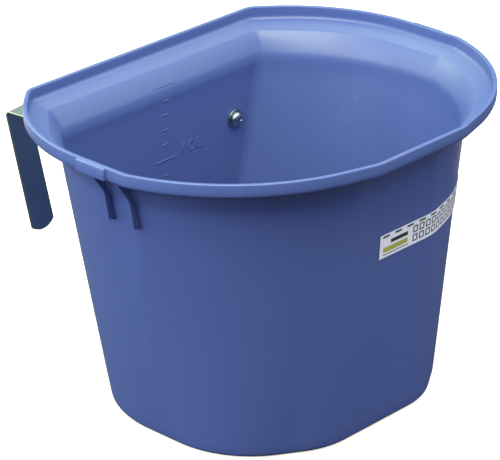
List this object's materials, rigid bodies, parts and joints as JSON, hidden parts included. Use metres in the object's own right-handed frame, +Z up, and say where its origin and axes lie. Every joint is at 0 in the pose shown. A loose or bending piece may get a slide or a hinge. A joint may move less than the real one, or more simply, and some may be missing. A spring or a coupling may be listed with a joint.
{
  "type": "hanging feed bucket",
  "caption": "Flat-backed moulded plastic feed tub with a flared rim, hung by two flat steel hooks that swivel on screws through its back wall.",
  "frame": {"origin": "middle of the flat underside that the tub stands on", "axes": "+X along the flat back, to the right seen from the front; +Y from the front towards the back wall and its hooks; +Z up"},
  "size_m": [0.405, 0.368, 0.2613],
  "materials": {
    "blue_plastic": "moulded polypropylene with a soft satin sheen",
    "label_film": "white sticker film",
    "hook_steel": "zinc plated strip, dull grey",
    "bright_zinc": "bright zinc plating"
  },
  "bodies": {
    "bucket": {"tub": "blue_plastic", "label": "label_film", "left_screw": "bright_zinc", "left_head_washer": "bright_zinc", "left_nut_washer": "bright_zinc", "left_nut": "bright_zinc", "right_screw": "bright_zinc", "right_head_washer": "bright_zinc", "right_nut_washer": "bright_zinc", "right_nut": "bright_zinc"},
    "left_hanger": {"left_hook": "hook_steel"},
    "right_hanger": {"right_hook": "hook_steel"}
  },
  "joints": [
    {"name": "left_hook_swivel", "type": "hinge", "parent": "bucket", "child": "left_hanger", "pos_m": [-0.08775, 0.12505, 0.1761], "axis": [0, 1, 0], "continuous": true},
    {"name": "right_hook_swivel", "type": "hinge", "parent": "bucket", "child": "right_hanger", "pos_m": [0.08775, 0.12505, 0.1761], "axis": [0, 1, 0], "continuous": true}
  ]
}
